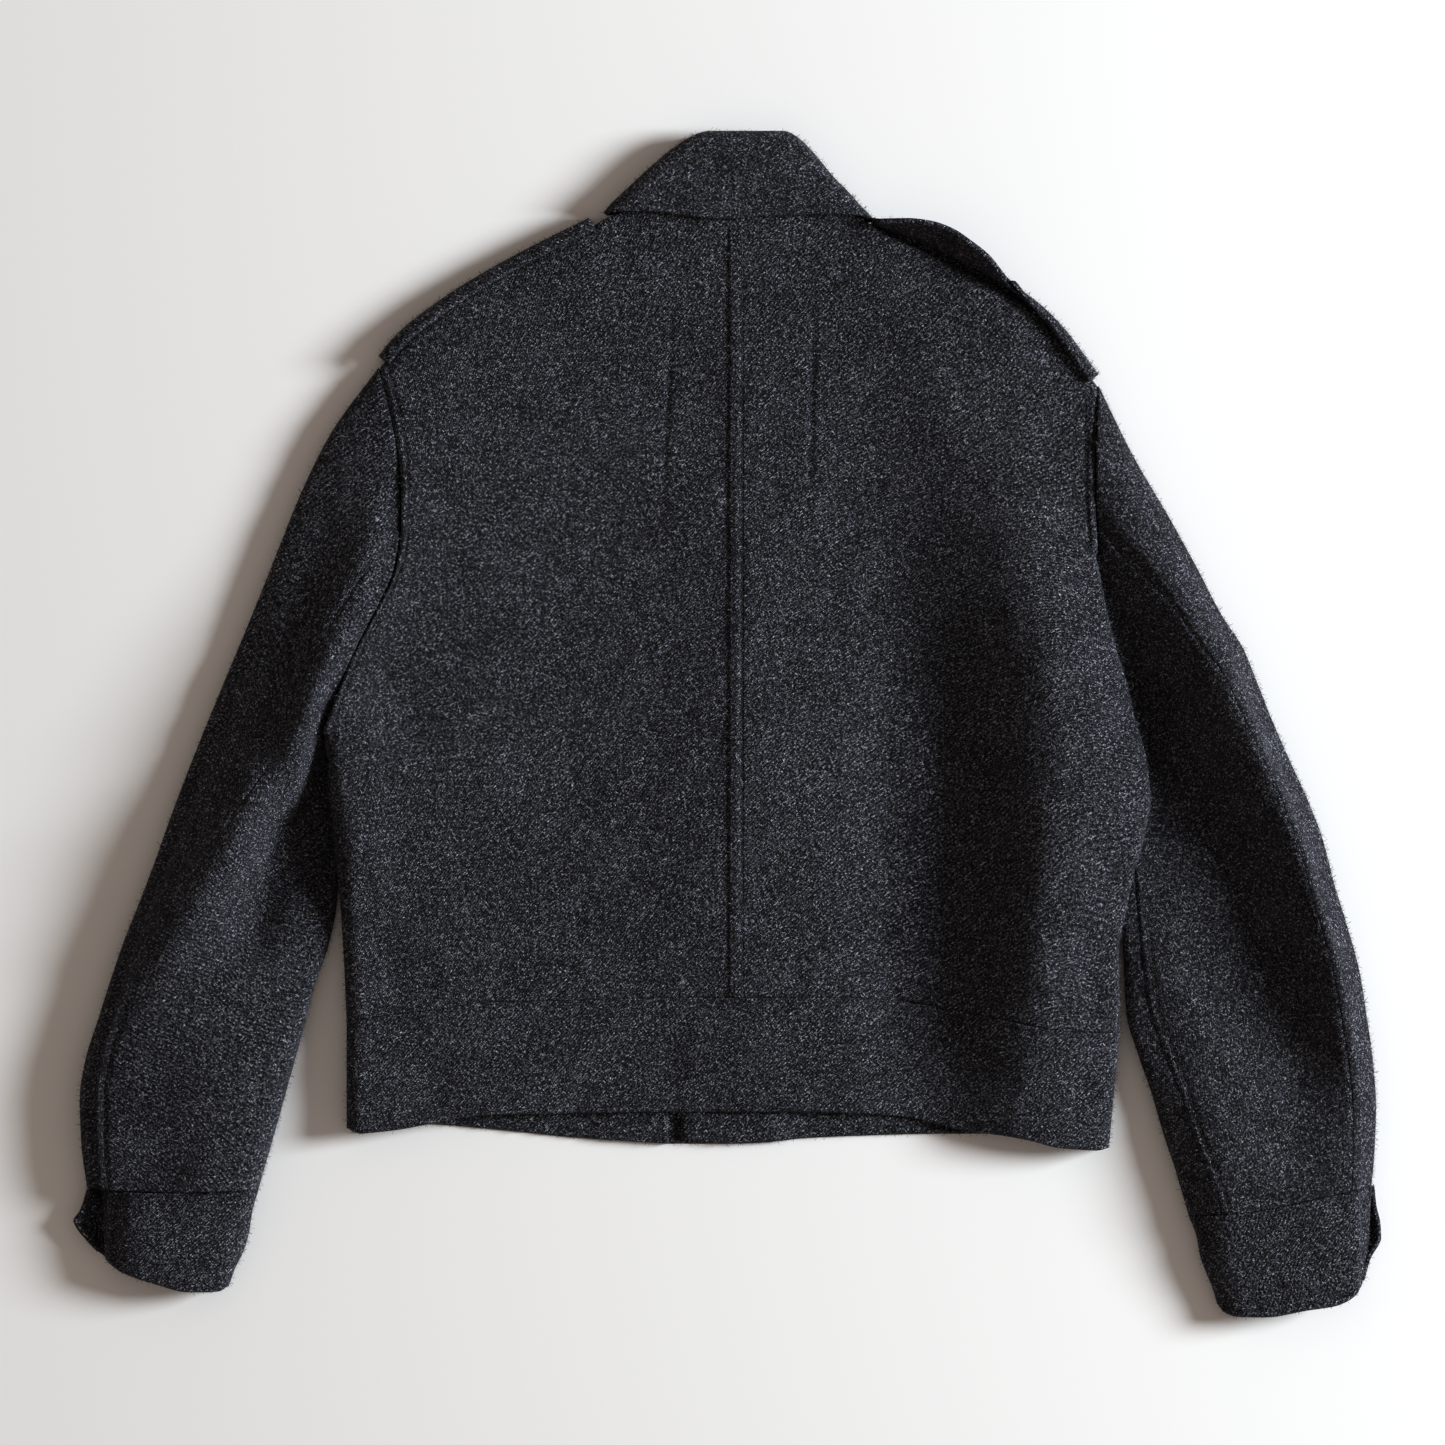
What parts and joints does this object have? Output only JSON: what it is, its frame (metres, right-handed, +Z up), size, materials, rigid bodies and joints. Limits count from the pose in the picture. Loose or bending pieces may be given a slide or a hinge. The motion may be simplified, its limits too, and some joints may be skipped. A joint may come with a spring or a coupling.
{
  "type": "military jacket",
  "caption": "Short charcoal wool battledress jacket laid flat with its back up, with a turned-down collar, shoulder straps, a waistband and cuffs with open vents",
  "frame": {"origin": "the middle of the jacket's bounding box, on the surface that it lies on", "axes": "+Z up, out of the back of the jacket; +Y towards the collar; +X to the right as seen from above, across the two sleeves"},
  "size_m": [0.8618, 0.7812, 0.0459],
  "materials": {
    "wool": "heavy milled wool serge with a short fuzzy nap and pale flecks"
  },
  "bodies": {
    "root": {"back": "wool", "front_left": "wool", "front_right": "wool", "waistband_back": "wool", "waistband_front_left": "wool", "waistband_front_right": "wool", "sleeve_top_left": "wool", "sleeve_top_right": "wool", "sleeve_under_left": "wool", "sleeve_under_right": "wool", "cuff_left": "wool", "cuff_right": "wool", "collar_fall": "wool", "collar_stand": "wool", "epaulette_left": "wool", "epaulette_right": "wool"}
  },
  "joints": []
}
